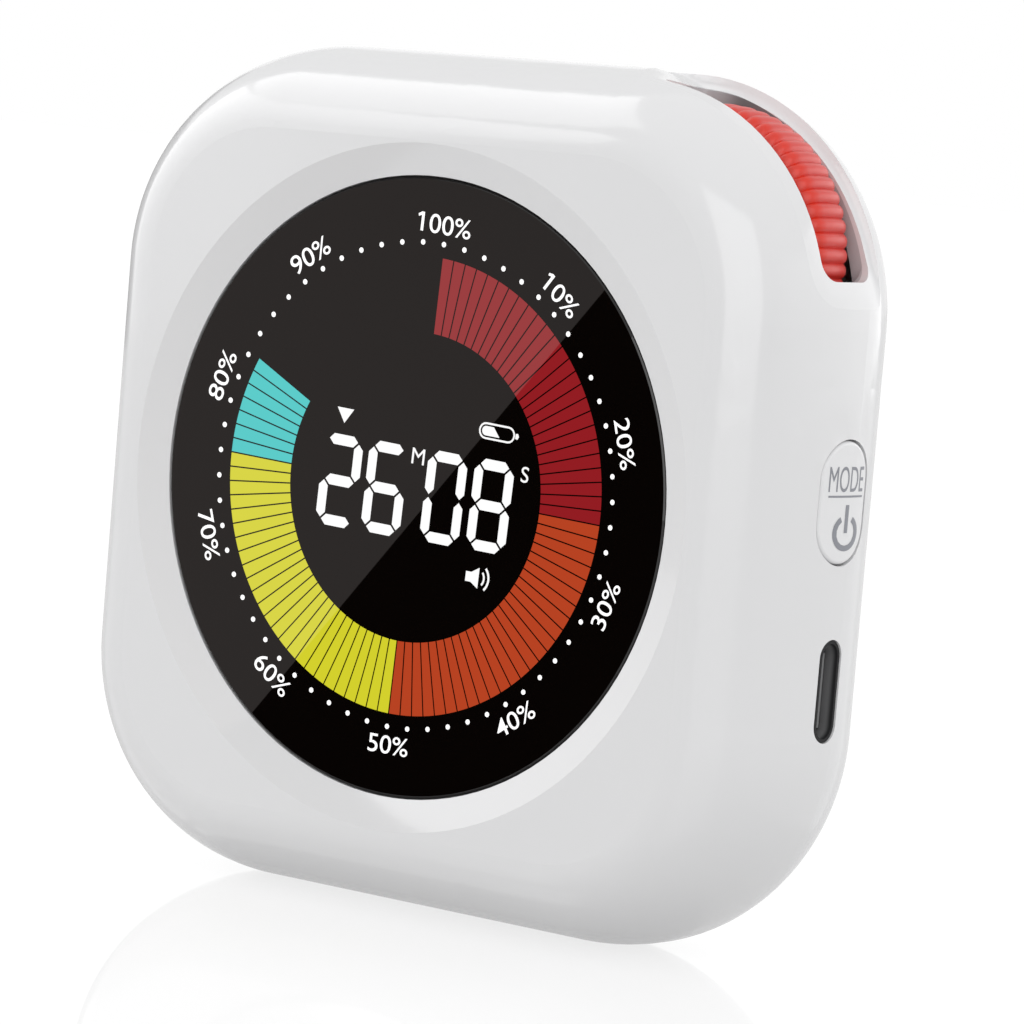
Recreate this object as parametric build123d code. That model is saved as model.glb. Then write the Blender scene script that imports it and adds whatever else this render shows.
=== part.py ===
from build123d import *
import os
from math import asin, cos, degrees, radians, sin, sqrt

# A rounded-square countdown timer that stands on its flat bottom.
# Millimetres. X right, Y from the front to the back, Z up. The origin is on the ground, under the
# middle of the case. Shapes are drawn about the middle of the case and lifted when they are saved.

# ---------------------------------------------------------------- driving dimensions
# Case
case_side = 80.0            # width, and height before the bottom is flattened
case_depth = 26.0
corner_radius = 21.75       # seen from the front, at the widest plane
front_round_side = 8.3      # front rounding: how far it reaches in from the side
front_round_depth = 13.66   # and how far back it runs
rear_round_side = 14.4      # rear rounding: how far it reaches in from the side
base_flat = 0.2             # sliced off the bottom, so that the case stands
wall = 1.8
cover_depth = 4.4           # rear plane to the edge of the rear cover
lip_depth = 1.5             # locating lip of the rear cover
lip_thick = 1.0
lip_gap = 0.1

# Dial
recess_radius = 31.5        # outer edge of the dished ring round the lens
recess_depth = 1.27
lens_radius = 28.5
lens_thick = 1.4
lens_gap = 0.08
lens_bevel = 0.25
tape_thick = 0.2
tape_width = 1.0
ledge_width = 1.5           # the lens rests on this ledge
ledge_thick = 1.2
bezel_wall = 2.4            # tube behind the dished ring
film_thick = 0.15
box_gap = 0.3               # light box to the ledge's bore
box_depth = 3.5
flange_width = 2.7
flange_thick = 1.0
cell_count = 100
cell_ring_outer = 21.1
cell_ring_inner = 14.2
cell_wall = 0.3
digit_height = 8.1
digit_width = 4.45
digit_stroke = 1.05
digit_slant = 4.0           # degrees
digit_centres = (-8.0, -2.85, 4.15, 9.3)
digit_drop = -0.35
icon_wells = ((-7.9, 5.9, 2.0, 1.5), (0.9, 3.05, 1.7, 1.4), (12.7, 2.7, 1.1, 1.4),
              (9.4, 6.1, 4.4, 1.5), (8.7, -7.2, 2.8, 1.9))
led_height = 0.4

# Boards and small screws
board_thick = 1.0
board_gap = 0.5             # a board's edge to a boss that passes it
display_ear_reach = 4.1     # the lens's edge to the display board's screws, outwards
display_ear_angles = (100, 215, 325)
ear_edge = 0.3              # an ear's edge round its boss
ear_root = 1.2              # and where it leaves the disc
ear_root_share = 0.8        # of the screw's distance from the middle
main_boss_inset = (7.4, 7.0)    # the case's left side and its bottom to the bosses of the main board
main_boss_spread = 12.0     # the bottom bosses, each way from the middle
board_edge_gap = 0.8        # the main board's outline to the case wall
board_top = 8.5             # the main board's top edge, above the middle
notch_gap = 0.6             # the main board's notch to the button's flange, pressed in
boss_radius = 2.2
screw_radius = 0.85
screw_length = 5.0
screw_head_radius = 1.6
screw_head_thick = 1.0
thread_gap = 0.01
hole_gap = 0.15

# Rear cover screws
cover_screw_inset = 15.5    # from the case's sides
cover_boss_radius = 3.0
cover_screw_radius = 1.1
cover_screw_length = 8.0
cover_head_radius = 1.9
cover_head_thick = 1.3
cover_sink_depth = 2.2      # rear face to the head's seat
cover_post_length = 1.6     # the cover's post in front of its inner face

# Thumb wheel and its slot
wheel_inset = 16.0          # the case's right side and its top to the wheel's axis
wheel_depth = 11.7          # front plane to the middle of the wheel
wheel_radius = 13.3
wheel_width = 5.8
rib_count = 60
rib_height = 0.36
wheel_crown = 0.3           # fall of the rim from its middle to the start of its shoulders
wheel_shoulder = 1.1        # further fall of the shoulders, at the flanks
rim_thick = 2.4
web_thick = 2.2
hub_radius = 4.0
slot_front_gap = 0.85       # the wheel's front flank to the slot's front edge
slot_back_gap = 0.45
slot_low_inset = 17.6       # the case's top to the slot's lower end
slot_top_inset = 20.8       # the case's right side to the slot's upper end
slot_corner = 1.8
scoop_depth = 1.2           # the scoop's floor below the case's corner
scoop_front = 5.45          # front plane to the scoop's front edge
scoop_crest = 16.0          # front plane to the crest behind the slot
scoop_low_inset = 20.5      # the case's top to where the scoop runs out on the right side
scoop_top_inset = 24.8      # the case's right side to where it runs out on the top
scoop_entry = 0.5           # how steeply it starts, as a share of its depth over the run-in
scoop_run_in = 7.0          # degrees past the slot's lower end where it is fully deep
scoop_run_out = 14.0        # degrees over which it fades at the top
scoop_slant = 0.6           # degrees that the upper end moves on per millimetre of depth
scoop_twist = 0.45          # how much higher the floor's back edge is at the lower end
scoop_level = 48.0          # the angle where both edges of the floor are level
scoop_clear = 10.0          # degrees past its end over which the cutter leaves the case
scoop_lift = 0.08           # the cutter's surface above the case's skin outside the scoop
scoop_lead = 0.5            # how far the cutter reaches past the scoop's front edge
scoop_tail = 0.3            # and behind its crest
scoop_rows = 45
scoop_columns = 21
pad_thick = 1.35            # the wall under the scoop's floor
pad_margin = 1.0            # how far the pad reaches past the slot at the front and back
wheel_room = 0.5            # the wheel to the wall inside

# Encoder
encoder_gap = 0.7
encoder_side = 10.0
encoder_thick = 3.5
shaft_radius = 2.0
shaft_flat = 0.5
shaft_gap = 0.03
shaft_stop = 0.8            # the blind end behind the shaft
encoder_ear_reach = (-15.5, 6.5)    # the wheel's axis to one boss; the other is its mirror image
encoder_boss_radius = 2.0
encoder_board_radius = 7.5
ribbon_width = 5.0
ribbon_thick = 0.2
ribbon_stops = (28.5, 21.0, 12.5, 8.5)  # along the diagonal: on the encoder board, on the main board

# Side button and charging port
side_depth = 12.4           # front plane to the line through button and port
button_height = 11.0
button_width = 7.0
button_edge = 0.35          # rounding of the button's outer edge
button_lift = 3.1           # button centre above the middle
button_gap = 0.15
button_travel = 0.35
flange_reach = 1.0
flange_seat = 0.08
flange_back = 4.1           # side face to the back of the button
stub_radius = 1.5
stub_length = 0.4
plunger_gap = 0.05
plunger_radius = 0.9
plunger_length = 1.3
switch_length = 3.4
switch_width = 4.5
switch_height = 3.3
port_drop = 13.75           # port centre below the middle
port_height = 9.14
port_thick = 3.12
port_gap = 0.08
port_recess = 0.15
port_length = 7.3
port_metal = 0.3
tongue_height = 6.7
tongue_thick = 0.7
tongue_reach = 5.2
tongue_base = 1.5
tongue_gap = 0.04

# Power and sound
battery_size = (32.0, 5.0, 24.0)
battery_centre = (-5.0, -6.0)
battery_corner = 1.0
battery_tape_thick = 0.2
battery_tape_inset = 3.0
speaker_radius = 6.5
speaker_thick = 3.5
speaker_centre = (-12.0, 17.0)
speaker_hole_radius = 0.6
speaker_hole_ring = 2.6
lead_radius = 0.45
lead_gap = 0.1              # a lead's ends to the parts that they serve
lead_pitch = 1.6
lead_bend = 0.9
speaker_lead_drop = 3.2
chip_thick = 0.9
controller = (-16.0, 3.0, 7.0)      # x, z, side
charger_side = 4.0
charger_gap = 4.5           # the charging port's back to the chip
plug_size = (5.0, 3.6, 7.0)
plug_centre = (18.0, -4.0)
header_size = (12.0, 2.6)
header_centre = (0.0, -24.0)
header_rim = (1.6, 1.2)         # both walls of the header's socket, along its length and across
header_well = 2.0
pin_pitch = 1.27
pin_radius = 0.25
pins_each_way = 3

# ---------------------------------------------------------------- derived positions
half = case_side / 2
display_ear_radius = lens_radius + display_ear_reach
main_boss_spots = ((main_boss_inset[0] - half, 0.0), (-main_boss_spread, main_boss_inset[1] - half),
                   (main_boss_spread, main_boss_inset[1] - half))
cover_screw_offset = half - cover_screw_inset
wheel_offset = half - wheel_inset
encoder_ear = (wheel_offset + encoder_ear_reach[0], wheel_offset + encoder_ear_reach[1])
slot_low_end = half - slot_low_inset
slot_top_end = half - slot_top_inset
scoop_low_end = half - scoop_low_inset
scoop_top_end = half - scoop_top_inset
lift = half - base_flat
y_front = -case_depth / 2
y_back = case_depth / 2
y_wide = y_front + front_round_depth
rear_round_depth = case_depth - front_round_depth
y_parting = y_back - cover_depth
corner = half - corner_radius
scoop_radius = corner_radius - scoop_depth
pad_radius = scoop_radius - pad_thick

y_lens = y_front + recess_depth
y_tape = y_lens + lens_thick
y_ledge = y_tape + tape_thick
y_ledge_back = y_ledge + ledge_thick
y_box = y_ledge + film_thick
y_display = y_box + box_depth
y_display_back = y_display + board_thick
pocket_radius = lens_radius + lens_gap
bore_radius = pocket_radius - ledge_width
box_radius = bore_radius - box_gap
bezel_radius = pocket_radius + bezel_wall
display_radius = box_radius + flange_width

y_side = y_front + side_depth
y_main = y_side + port_thick / 2
y_main_back = y_main + board_thick

y_wheel = y_front + wheel_depth
y_wheel_front = y_wheel - wheel_width / 2
y_wheel_back = y_wheel + wheel_width / 2
y_slot_front = y_wheel_front - slot_front_gap
y_slot_back = y_wheel_back + slot_back_gap
y_encoder = y_wheel_back + encoder_gap
y_encoder_board = y_encoder + encoder_thick
y_encoder_back = y_encoder_board + board_thick

y_cover_inner = y_back - wall
y_cover_boss = y_cover_inner - cover_post_length
y_head_seat = y_back - cover_sink_depth


# ---------------------------------------------------------------- helpers
def facing(y):
    """A sketch plane seen from the front, at depth y."""
    return Plane(origin=(0, y, 0), x_dir=(1, 0, 0), z_dir=(0, -1, 0))


def prism(sketch, y0, y1):
    """A front-view sketch carried from y0 back to y1."""
    return extrude(facing(y1) * sketch, amount=y1 - y0)


def disc(x, z, radius, y0, y1):
    return prism(Pos(x, z) * Circle(radius), y0, y1)


def block(x, z, width, height, y0, y1):
    return prism(Pos(x, z) * Rectangle(width, height), y0, y1)


def spun(profile, x=0.0, z=0.0, start=0.0, sweep=360.0):
    """Turns a (radius, y) profile about an axis along Y; the start angle runs from +X up."""
    a = radians(start)
    plane = Plane(origin=(x, 0, z), x_dir=(cos(a), 0, sin(a)), z_dir=(-sin(a), 0, cos(a)))
    return revolve(plane * profile, axis=Axis((x, 0, z), (0, -1, 0)), revolution_arc=sweep)


def outline(*points):
    return make_face(Polyline(*points, close=True))


def sideways(y, z, x0, x1, height, width):
    """An upright oval, carried along X from x0 to x1."""
    plane = Plane(origin=(x0, y, z), x_dir=(0, 1, 0), z_dir=(1, 0, 0))
    return extrude(plane * SlotOverall(height, width, rotation=90), amount=x1 - x0)


def inset_at(y, skin=0.0):
    """How far the case narrows on each side at depth y, skin millimetres below its surface."""
    if y < y_wide:
        side, depth = front_round_side - skin, front_round_depth - skin
    else:
        side, depth = rear_round_side - skin, rear_round_depth - skin
    t = min(1.0, abs(y - y_wide) / depth)
    return skin + side * (1 - sqrt(1 - t * t))


def half_profile(reach, skin):
    """Half of the case's section: flat front, long front rounding, rear rounding, flat back."""
    fs, fd = front_round_side - skin, front_round_depth - skin
    rs, rd = rear_round_side - skin, rear_round_depth - skin
    front = EllipticalCenterArc((reach - fs, y_wide), fs, fd, start_angle=-90, arc_size=90)
    rear = EllipticalCenterArc((reach - rs, y_wide), rs, rd, start_angle=0, arc_size=90)
    return make_face([
        Line((0, y_wide - fd), (reach - fs, y_wide - fd)), front, rear,
        Line((reach - rs, y_wide + rd), (0, y_wide + rd)),
        Line((0, y_wide + rd), (0, y_wide - fd)),
    ])


def pebble(skin=0.0):
    """The whole case as a solid, skin millimetres smaller on every side."""
    side = extrude(Plane(origin=(0, 0, -corner)) * half_profile(half - skin, skin), amount=2 * corner)
    turn = spun(half_profile(corner_radius - skin, skin), corner, corner, 0, 90)
    quarter = side + turn
    return quarter + [Rot(0, a, 0) * quarter for a in (90, 180, 270)]


def rounded_square(half_size, radius):
    return RectangleRounded(2 * half_size, 2 * half_size, radius)


def node(name, *solids):
    """Saves one node, lifted so that the case stands on z = 0."""
    made = []
    for s in solids:
        made += [s] if isinstance(s, Solid) else list(s.solids())
    made = [s.moved(Location((0, 0, lift))) for s in made]
    export_step(made[0] if len(made) == 1 else Compound(children=made), f"parts/{name}.step")


def screw(x, z, y_seat, radius, length, head_radius, head_thick):
    """A cross-head screw that goes in towards the front from its seat at y_seat."""
    made = disc(x, z, radius, y_seat - length, y_seat) + disc(x, z, head_radius, y_seat, y_seat + head_thick)
    for w, h in ((head_radius, head_radius / 4), (head_radius / 4, head_radius)):
        made -= block(x, z, w, h, y_seat + head_thick / 2, y_seat + head_thick)
    return made


os.makedirs("parts", exist_ok=True)

# ---------------------------------------------------------------- where the screws stand
display_spots = [(display_ear_radius * cos(radians(a)), display_ear_radius * sin(radians(a)))
                 for a in display_ear_angles]
cover_spots = [(-cover_screw_offset, -cover_screw_offset), (cover_screw_offset, -cover_screw_offset),
               (-cover_screw_offset, cover_screw_offset)]
encoder_spots = [encoder_ear, encoder_ear[::-1]]


# ---------------------------------------------------------------- scoop and slot at the corner
def corner_point(radius, angle, y):
    """A point about the axis of the case's upper right corner; the angle runs from +X up."""
    return Vector(corner + radius * cos(radians(angle)), y, corner + radius * sin(radians(angle)))


def skin_at(angle, y):
    """The case's skin from that corner's axis: an arc, and past 90 degrees the flat top."""
    return (corner_radius - inset_at(y)) / (sin(radians(angle)) if angle > 90 else 1.0)


def scoop_floor(angle, y):
    """Radius of the scoop's floor about the corner centre, at full depth."""
    y_in = y_front + scoop_front
    y_crest = y_front + scoop_crest
    back = scoop_radius + scoop_twist * (1 - angle / scoop_level)
    if y < y_slot_front:
        rim = corner_radius - inset_at(y_in)
        u = (y_slot_front - y) / (y_slot_front - y_in)
        return scoop_radius - (scoop_radius - rim) * u * u
    if y < y_slot_back:
        u = (y - y_slot_front) / (y_slot_back - y_slot_front)
        return scoop_radius + (back - scoop_radius) * u * u * (3 - 2 * u)
    u = (y - y_slot_back) / (y_crest - y_slot_back)
    return back + (corner_radius - inset_at(y_crest) - back) * u * u


def scoop_last(y):
    """The angle at which the scoop runs out at the top: the end slants backwards."""
    return 90 - degrees(asin((scoop_top_end - corner) / corner_radius)) + scoop_slant * (y - y_wheel)


def scoop_weight(angle, y):
    """0 where the scoop runs out, 1 where it is fully deep."""
    start = degrees(asin((scoop_low_end - corner) / corner_radius))
    low = degrees(asin((slot_low_end - corner) / scoop_radius)) + scoop_run_in
    u = min((angle - start) / (low - start), (scoop_last(y) - angle) / scoop_run_out, 1.0)
    if u < 0:
        return scoop_entry * u
    return scoop_entry * u * (1 - u) ** 2 + u * u * (3 - 2 * u)


def scoop_cutter():
    """One smooth floor over the corner, carried outwards along the diagonal.

    The grid runs a little past the scoop on every side and stays outside the case there.
    """
    y0, y1 = y_front + scoop_front - scoop_lead, y_front + scoop_crest + scoop_tail
    first = degrees(asin((scoop_low_end - corner) / corner_radius)) - 0.8
    last = scoop_last(y1) + 0.8
    grid = []
    for i in range(scoop_rows):
        angle = first + (last - first) * i / (scoop_rows - 1)
        line = []
        for k in range(scoop_columns):
            y = y0 + (y1 - y0) * k / (scoop_columns - 1)
            skin = skin_at(angle, y)
            past = max(0.0, angle - scoop_last(y)) / scoop_clear
            clear = scoop_lift + 0.5 * (sqrt(1 + past * past) - 1)
            weight = scoop_weight(angle, y)
            depth = weight * (skin - scoop_floor(angle, y))
            line.append(corner_point(skin - (depth if weight > 0 else min(depth, 0)) + clear, angle, y))
        grid.append(line)
    floor = Face.make_surface_from_array_of_points(grid, tol=0.004, min_deg=3, max_deg=5)
    return extrude(floor, amount=8, dir=(1, 0, 1))


def slot_cutter():
    """The opening itself: a sector through the wall, its four corners rounded."""
    low = degrees(asin((slot_low_end - corner) / scoop_radius))
    top = 90 - degrees(asin((slot_top_end - corner) / scoop_radius))
    inner, outer = pad_radius - 3, corner_radius + 3
    sector = spun(outline((inner, y_slot_front), (outer, y_slot_front),
                          (outer, y_slot_back), (inner, y_slot_back)), corner, corner, low, top - low)
    ends = [e for e in sector.edges() if e.geom_type == GeomType.LINE
            and abs(e.length - (outer - inner)) < 1e-3]
    return fillet(ends, slot_corner)


# ---------------------------------------------------------------- case
ground = Pos(0, 0, -half - case_side / 2 + base_flat) * Box(2 * case_side, 2 * case_depth, case_side)
outer = pebble() - ground
cavity = pebble(wall)
in_front = Box(2 * case_side, y_parting - y_front, 2 * case_side).moved(
    Location((0, (y_front + y_parting) / 2, 0)))
dug = scoop_cutter()
pad_outer = corner_radius - wall / 2
pad_front, pad_back = y_front + scoop_front - pad_margin, y_front + scoop_crest + pad_margin
pad = spun(outline((pad_radius, pad_front), (pad_outer, pad_front), (pad_outer, pad_back),
                   (pad_radius, pad_back)), corner, corner, 0, 90)

shell = outer - cavity + (pad & outer)
shell -= dug
shell -= disc(wheel_offset, wheel_offset, wheel_radius + wheel_room, y_slot_front, y_slot_back)
shell -= slot_cutter()


def boss(x, z, radius, y_top, hole, depth):
    """A screw boss that grows from the front wall, with its pilot hole."""
    return (disc(x, z, radius, y_front + wall / 2, y_top) & outer,
            disc(x, z, hole + thread_gap, y_top - depth, y_top))


front = shell & in_front
front += disc(0, 0, bezel_radius, y_front + wall / 2, y_ledge_back)
bosses = [boss(x, z, boss_radius, y_display, screw_radius, screw_length) for x, z in display_spots]
bosses += [boss(x, z, boss_radius, y_main, screw_radius, screw_length) for x, z in main_boss_spots]
bosses += [boss(x, z, encoder_boss_radius, y_encoder_board, screw_radius, screw_length)
           for x, z in encoder_spots]
bosses += [boss(x, z, cover_boss_radius, y_cover_boss, cover_screw_radius, cover_screw_length)
           for x, z in cover_spots]
front += [b for b, h in bosses]
front -= [h for b, h in bosses]
dial = outline((0, y_front - 1), (recess_radius, y_front - 1), (recess_radius, y_front),
               (pocket_radius, y_lens), (pocket_radius, y_ledge), (bore_radius, y_ledge),
               (bore_radius, y_ledge_back + 0.1), (0, y_ledge_back + 0.1))
front -= spun(dial)
front -= sideways(y_side, button_lift, half - 2 * wall - 1, half + 1,
                  button_height + 2 * button_gap, button_width + 2 * button_gap)
front -= sideways(y_side, -port_drop, half - 2 * wall - 1, half + 1,
                  port_height + 2 * port_gap, port_thick + 2 * port_gap)
node("front_housing", front)

# Rear cover: the back of the shell, a lip that slides into the front housing, three screw posts
lip_half = half - inset_at(y_parting, wall) - lip_gap
lip_radius = corner_radius - inset_at(y_parting, wall) - lip_gap
lip = prism(rounded_square(lip_half, lip_radius)
            - rounded_square(lip_half - lip_thick, lip_radius - lip_thick),
            y_parting - lip_depth, y_parting + 1.2)
rear = (outer - cavity) - in_front
rear += lip & pebble(wall / 2)
for x, z in cover_spots:
    rear += disc(x, z, cover_boss_radius, y_cover_boss, y_back - wall / 2) & outer
    rear -= disc(x, z, cover_screw_radius + hole_gap, y_cover_boss - 1, y_back)
    rear -= disc(x, z, cover_head_radius + hole_gap, y_head_seat, y_back + 1)
sx, sz = speaker_centre
holes = [(sx, sz)] + [(sx + speaker_hole_ring * cos(radians(60 * k)),
                       sz + speaker_hole_ring * sin(radians(60 * k))) for k in range(6)]
rear -= [disc(x, z, speaker_hole_radius, y_back - 2 * wall, y_back + 1) for x, z in holes]
node("rear_cover", rear)

node("cover_screws", *[screw(x, z, y_head_seat, cover_screw_radius, cover_screw_length,
                             cover_head_radius, cover_head_thick) for x, z in cover_spots])

# ---------------------------------------------------------------- display stack
lens = spun(outline((0, y_lens), (lens_radius - lens_bevel, y_lens), (lens_radius, y_lens + lens_bevel),
                    (lens_radius, y_tape), (0, y_tape)))
node("display_lens", lens)
tape_mid = bore_radius + ledge_width / 2
node("lens_adhesive", prism(Circle(tape_mid + tape_width / 2) - Circle(tape_mid - tape_width / 2),
                            y_tape, y_ledge))
node("diffuser_film", disc(0, 0, box_radius - 0.2, y_ledge, y_box))


def wedge(i):
    """One cell of the colour ring, counted clockwise from the top."""
    step = 360 / cell_count
    points = []
    for r, side in ((cell_ring_inner, -1), (cell_ring_outer, -1), (cell_ring_outer, 1),
                    (cell_ring_inner, 1)):
        a = radians(90 - step * (i + 0.5)) - side * (radians(step) / 2 - cell_wall / 2 / r)
        points.append((r * cos(a), r * sin(a)))
    return Wire.make_polygon([Vector(x, z) for x, z in points], close=True)


def bar(x, z, length, upright, lean):
    """One six-sided digit segment."""
    h, s = length / 2, digit_stroke / 2
    points = [(-h, 0), (s - h, s), (h - s, s), (h, 0), (h - s, -s), (s - h, -s)]
    if upright:
        points = [(v, u) for u, v in points]
    return [(x + u + (z + v - digit_drop) * lean, z + v) for u, v in points]


def digit_bars(x):
    w, h = digit_width - digit_stroke, digit_height - digit_stroke
    lean = sin(radians(digit_slant))
    long, tall = w - cell_wall, h / 2 - cell_wall
    flat = [(x, digit_drop + k * h / 2, long, False) for k in (-1, 0, 1)]
    posts = [(x + i * w / 2, digit_drop + k * h / 4, tall, True) for i in (-1, 1) for k in (-1, 1)]
    return [bar(*b, lean) for b in flat + posts]


digits = [b for x in digit_centres for b in digit_bars(x)]
wells = [wedge(i) for i in range(cell_count)]
wells += [Wire.make_polygon([Vector(u, v) for u, v in b], close=True) for b in digits]
wells += [Wire.make_polygon([Vector(x + i * w / 2, z + k * h / 2) for i, k in
                             ((-1, -1), (1, -1), (1, 1), (-1, 1))], close=True)
          for x, z, w, h in icon_wells]


def drilled(radius, extra=()):
    return Face(Wire.make_circle(radius), wells + list(extra))


light_box = prism(drilled(box_radius), y_box, y_ledge_back)
light_box += prism(drilled(display_radius), y_ledge_back, y_ledge_back + flange_thick)
light_box += prism(drilled(box_radius), y_ledge_back + flange_thick, y_display)
node("display_reflector", light_box)

ears = Circle(display_radius)
for x, z in display_spots:
    ears += make_hull([*(Pos(x, z) * Circle(boss_radius + ear_edge)).edges(),
                       *(Pos(x * ear_root_share, z * ear_root_share) * Circle(boss_radius + ear_root)).edges()])
for x, z in display_spots:
    ears -= Pos(x, z) * Circle(screw_radius + hole_gap)
node("display_board", prism(ears, y_display, y_display_back))


def led(x, z, turn=0.0, width=0.5, length=1.0):
    return prism(Pos(x, z) * Rot(0, 0, turn) * Rectangle(length, width), y_display - led_height, y_display)


mid_ring = (cell_ring_inner + cell_ring_outer) / 2
ring_angles = [90 - 360 / cell_count * (i + 0.5) for i in range(cell_count)]
node("ring_leds", *[led(mid_ring * cos(radians(a)), mid_ring * sin(radians(a)), a) for a in ring_angles])
node("digit_leds", *[led(sum(u for u, v in b) / 6, sum(v for u, v in b) / 6,
                         0 if abs(b[0][1] - b[3][1]) < 0.1 else 90) for b in digits])
node("icon_leds", *[led(x, z) for x, z, w, h in icon_wells])

# ---------------------------------------------------------------- main board and what it carries
edge = wall + board_edge_gap
main_face = rounded_square(half - edge, corner_radius - edge)
main_face &= Pos(0, board_top - case_side) * Rectangle(2 * case_side, 2 * case_side)
notch_x = half - flange_back - button_travel - notch_gap
notch_top = button_lift - button_height / 2 - flange_reach - board_gap
main_face -= Pos(notch_x + case_side / 2, notch_top + case_side / 2) * Rectangle(case_side, case_side)
for x, z in cover_spots:
    main_face -= Pos(x, z) * Circle(cover_boss_radius + board_gap)
for x, z in encoder_spots:
    main_face -= Pos(x, z) * Circle(encoder_boss_radius + board_gap)
for x, z in main_boss_spots:
    main_face -= Pos(x, z) * Circle(screw_radius + hole_gap)
main_board = prism(main_face, y_main, y_main_back)
node("main_board", main_board)

hx, hz = header_centre
header = block(hx, hz, *header_size, y_display_back, y_main)
header -= block(hx, hz, header_size[0] - header_rim[0], header_size[1] - header_rim[1],
                y_main - header_well, y_main)
pins = [disc(hx + pin_pitch * k, hz, pin_radius, y_main - header_well, y_main)
        for k in range(-pins_each_way, pins_each_way + 1)]
node("board_header", header + pins)
node("controller_chip", block(*controller, controller[2], y_main_back, y_main_back + chip_thick))
port_back = half - port_recess - port_length
node("charger_chip", block(port_back - charger_gap - charger_side / 2, -port_drop + charger_side / 2,
                           charger_side, charger_side, y_main_back, y_main_back + chip_thick))

small = (screw_radius, screw_length, screw_head_radius, screw_head_thick)
board_screws = [screw(x, z, y_display_back, *small) for x, z in display_spots]
board_screws += [screw(x, z, y_main_back, *small) for x, z in main_boss_spots]
board_screws += [screw(x, z, y_encoder_back, *small) for x, z in encoder_spots]
node("board_screws", *board_screws)

# ---------------------------------------------------------------- charging port
port_face = half - port_recess
shell_solid = sideways(y_side, -port_drop, port_back, port_face, port_height, port_thick)
shell_solid -= sideways(y_side, -port_drop, port_back + port_metal, port_face + 1,
                        port_height - 2 * port_metal, port_thick - 2 * port_metal)
node("usb_shell", shell_solid)
inner_back = port_back + port_metal
tongue = sideways(y_side, -port_drop, inner_back, inner_back + tongue_base,
                  port_height - 2 * (port_metal + tongue_gap), port_thick - 2 * (port_metal + tongue_gap))
tongue += Box(tongue_reach, tongue_thick, tongue_height).moved(
    Location((inner_back + tongue_base + tongue_reach / 2 - 0.5, y_side, -port_drop)))
node("usb_tongue", tongue)

# ---------------------------------------------------------------- side button and its switch
y0, z0 = y_side, button_lift
x_back = half - flange_back
cap = sideways(y0, z0, x_back, half + 2, button_height, button_width) & pebble()
cap = fillet([e for e in cap.edges() if e.center().X > half - wall], button_edge)
seat = sideways(y0, z0, x_back, half + 2, button_height + 2 * flange_reach,
                button_width + 2 * flange_reach) & pebble(wall + flange_seat)
stub = extrude(Plane(origin=(x_back - stub_length, y0, z0), x_dir=(0, 1, 0), z_dir=(1, 0, 0))
               * Circle(stub_radius), amount=stub_length + 0.5)
node("mode_button", cap + seat + stub)

x_tip = x_back - stub_length - plunger_gap
x_switch = x_tip - plunger_length
switch_room = Plane(origin=(x_switch - 0.8, y0, z0), x_dir=(0, 1, 0), z_dir=(1, 0, 0))
plunger = extrude(switch_room * Circle(plunger_radius), amount=plunger_length + 0.8)
well = extrude(switch_room.offset(-button_travel - plunger_gap) * Circle(plunger_radius + shaft_gap),
               amount=button_travel + plunger_gap + 0.8)
switch = Box(switch_length, switch_height, switch_width).moved(
    Location((x_switch - switch_length / 2, y_main - switch_height / 2, z0)))
node("switch_body", switch - well)
node("switch_plunger", plunger)

# ---------------------------------------------------------------- thumb wheel and encoder
wx = wz = wheel_offset


def ribbed_outline(drop):
    """Rounded ribs side by side, one arc each, the whole outline drop millimetres lower."""
    step = 2 * 180 / rib_count
    valley = wheel_radius - rib_height

    def at(r, a):
        return ((r - drop) * cos(radians(a)), (r - drop) * sin(radians(a)))

    arcs = [ThreePointArc(at(valley, step * i), at(wheel_radius, step * (i + 0.5)), at(valley, step * (i + 1)))
            for i in range(rib_count)]
    return make_face(arcs)


# The ribs run over a crowned rim with soft shoulders
yf, yb = y_wheel_front, y_wheel_back
sections = []
for t in (-1.0, -0.85, -0.6, -0.3, 0.0, 0.3, 0.6, 0.85, 1.0):
    drop = wheel_crown * t * t + wheel_shoulder * abs(t) ** 7
    sections.append(facing((yf + yb) / 2 + t * wheel_width / 2) * (Pos(wx, wz) * ribbed_outline(drop)))
wheel = loft(sections)
hollow = wheel_radius - wheel_crown - rib_height - rim_thick
wheel -= prism(Pos(wx, wz) * (Circle(hollow) - Circle(hub_radius)), yf + web_thick, yb)


def d_section(gap):
    keep = Pos(0, -shaft_flat) * Rectangle(4 * shaft_radius, 2 * (shaft_radius + gap))
    return Pos(wx, wz) * (Circle(shaft_radius + gap) & keep)


wheel -= prism(d_section(shaft_gap), yf - 1, yb + 1)
node("thumb_wheel", wheel)
y_shaft_end = y_encoder_board - shaft_stop
shaft = prism(d_section(0), yf + 0.3, y_encoder - encoder_gap / 2)
shaft += disc(wx, wz, shaft_radius, y_encoder - encoder_gap / 2, y_shaft_end - 0.1)
node("encoder_shaft", shaft)
body = block(wx, wz, encoder_side, encoder_side, y_encoder, y_encoder_board)
body = fillet(body.edges().filter_by(Axis.Y), 1.0)
node("encoder_body", body - disc(wx, wz, shaft_radius + shaft_gap, y_encoder - 1, y_shaft_end))

rings = [(Pos(wx, wz) * Circle(encoder_board_radius))]
rings += [Pos(x, z) * Circle(encoder_boss_radius + 0.3) for x, z in encoder_spots]
encoder_face = make_hull([e for r in rings for e in r.edges()])
for x, z in encoder_spots:
    encoder_face -= Pos(x, z) * Circle(screw_radius + hole_gap)
node("encoder_board", prism(encoder_face, y_encoder_board, y_encoder_back))

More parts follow.
